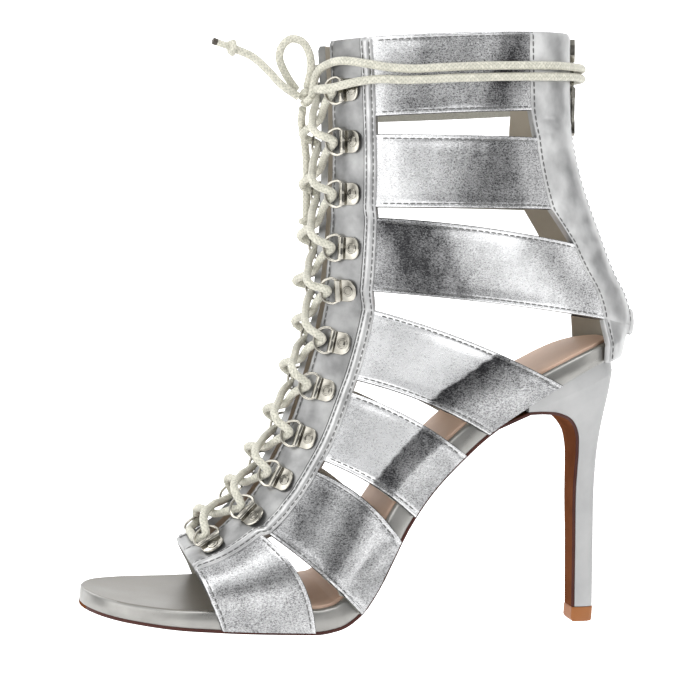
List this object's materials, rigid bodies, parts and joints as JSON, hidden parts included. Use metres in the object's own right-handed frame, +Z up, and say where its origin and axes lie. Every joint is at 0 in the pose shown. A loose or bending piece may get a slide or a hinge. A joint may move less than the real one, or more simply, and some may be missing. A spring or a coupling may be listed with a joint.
{
  "type": "lace-up peep toe high heel sandal boot, left",
  "caption": "A silver lace-up peep toe sandal boot with wide elastic bands, a back zip, a covered stiletto heel and a braided cord lace.",
  "frame": {"origin": "the middle of the flat spot under the forefoot, on the floor", "axes": "+Z up, toe at -X, heel at +X, the outer side of the left foot at -Y"},
  "size_m": [0.2182, 0.081, 0.2385],
  "materials": {
    "silver_leather": "smooth metallic silver leather",
    "rim_leather": "metallic silver leather wrapped round the edge",
    "silver_band": "crinkled silver foil leather",
    "tan_lining": "smooth tan lining leather",
    "brown_sole": "polished dark brown sole leather",
    "tip_rubber": "hard tan rubber",
    "nickel": "polished nickel",
    "cord": "braided round cord"
  },
  "bodies": {
    "shoe": {"outsole": "brown_sole", "footbed": "rim_leather", "insole": "tan_lining", "heel": "silver_leather", "heel_tip": "tip_rubber", "upper": "silver_band", "zip": "nickel", "zip_slider": "nickel", "lace_crossings": "cord", "lace_knot": "cord", "lace_loop_outer_01": "nickel", "lace_loop_outer_02": "nickel", "lace_loop_outer_03": "nickel", "lace_loop_outer_04": "nickel", "lace_loop_outer_05": "nickel", "lace_loop_outer_06": "nickel", "lace_loop_outer_07": "nickel", "lace_loop_outer_08": "nickel", "lace_loop_outer_09": "nickel", "lace_loop_outer_10": "nickel", "lace_loop_outer_11": "nickel", "lace_loop_inner_01": "nickel", "lace_loop_inner_02": "nickel", "lace_loop_inner_03": "nickel", "lace_loop_inner_04": "nickel", "lace_loop_inner_05": "nickel", "lace_loop_inner_06": "nickel", "lace_loop_inner_07": "nickel", "lace_loop_inner_08": "nickel", "lace_loop_inner_09": "nickel", "lace_loop_inner_10": "nickel", "lace_loop_inner_11": "nickel", "lace_wrap_outer": "cord", "lace_wrap_inner": "cord", "lace_bow_loop": "cord", "lace_end_front": "cord", "lace_end_inner": "cord"},
    "pull": {"zip_pull": "nickel"}
  },
  "joints": [
    {"name": "zip_pull_hinge", "type": "hinge", "parent": "shoe", "child": "pull", "pos_m": [0.12563, 0, 0.21734], "axis": [0, -1, 0], "range_deg": [0, 110]}
  ]
}
